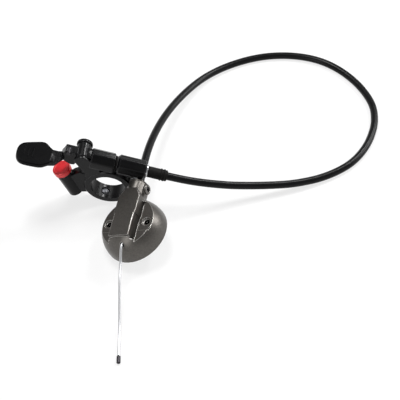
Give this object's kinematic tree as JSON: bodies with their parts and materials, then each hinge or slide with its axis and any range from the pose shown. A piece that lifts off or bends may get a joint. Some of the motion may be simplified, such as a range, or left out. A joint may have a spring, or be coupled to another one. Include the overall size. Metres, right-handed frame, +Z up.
{
  "type": "fork lockout lever",
  "caption": "Handlebar lever with clamp, thumb pad, release button and barrel adjuster, joined by a cable housing to a rotary cap for a suspension fork.",
  "frame": {"origin": "on the floor, below the middle of the box round the solid pieces without the cable", "axes": "+X from the thumb pad towards the cable loop, +Y away from the loose wire end, +Z up"},
  "size_m": [0.2344, 0.2599, 0.0483],
  "materials": {
    "black_anodised": "satin",
    "gunmetal_paint": "satin",
    "red_anodised": "gloss",
    "bright_steel": "polished",
    "dark_steel": "satin",
    "bronze": "satin",
    "black_plastic": "matte",
    "black_rubber": "matte",
    "white_acetal": "satin"
  },
  "bodies": {
    "body": {"clamp_body": "black_anodised", "clamp_screw": "bright_steel", "pivot_screw": "black_anodised", "pivot_bush": "bronze", "adjuster_collar": "bright_steel", "housing_boot": "black_rubber", "cable_housing": "black_rubber", "neck_ferrule": "dark_steel", "fork_cap": "gunmetal_paint", "pinch_bolt": "dark_steel", "spool_spring": "bright_steel", "base_plate": "black_plastic", "wire_tail": "bright_steel", "wire_end_crimp": "dark_steel", "button_spring": "bright_steel"},
    "lever": {"lever_arm": "black_anodised", "thumb_pad": "black_plastic", "cable_nipple": "bright_steel"},
    "button": {"button_cap": "red_anodised", "button_stem": "bright_steel"},
    "adjuster": {"adjuster_knob": "black_anodised", "adjuster_screw": "bright_steel"},
    "spool": {"cable_spool": "white_acetal", "spool_grub_screw": "dark_steel"}
  },
  "joints": [
    {"name": "lever_press", "type": "hinge", "parent": "body", "child": "lever", "pos_m": [-0.00707, 0.01756, 0.03961], "axis": [-0.0765, -0.994, -0.0785], "range_deg": [0, 25], "stiffness_Nm_per_rad": 0.5, "springref_deg": -17.19},
    {"name": "button_press", "type": "slide", "parent": "body", "child": "button", "axis": [0.3138, 0.0507, -0.9481], "range_m": [0, 0.0012], "stiffness_N_per_m": 500, "springref_m": -0.002, "deforming": ["button_spring"]},
    {"name": "adjuster_turn", "type": "hinge", "parent": "body", "child": "adjuster", "pos_m": [0.01295, 0.02178, 0.03415], "axis": [0.9552, -0.0505, -0.2915], "continuous": true},
    {"name": "spool_turn", "type": "hinge", "parent": "body", "child": "spool", "pos_m": [0.0263, -0.0126, 0.00841], "axis": [-0.4107, -0.0377, 0.911], "range_deg": [0, 25]}
  ],
  "couplings": [
    {"joint": "spool_turn", "follows": "lever_press", "ratio": 1}
  ]
}
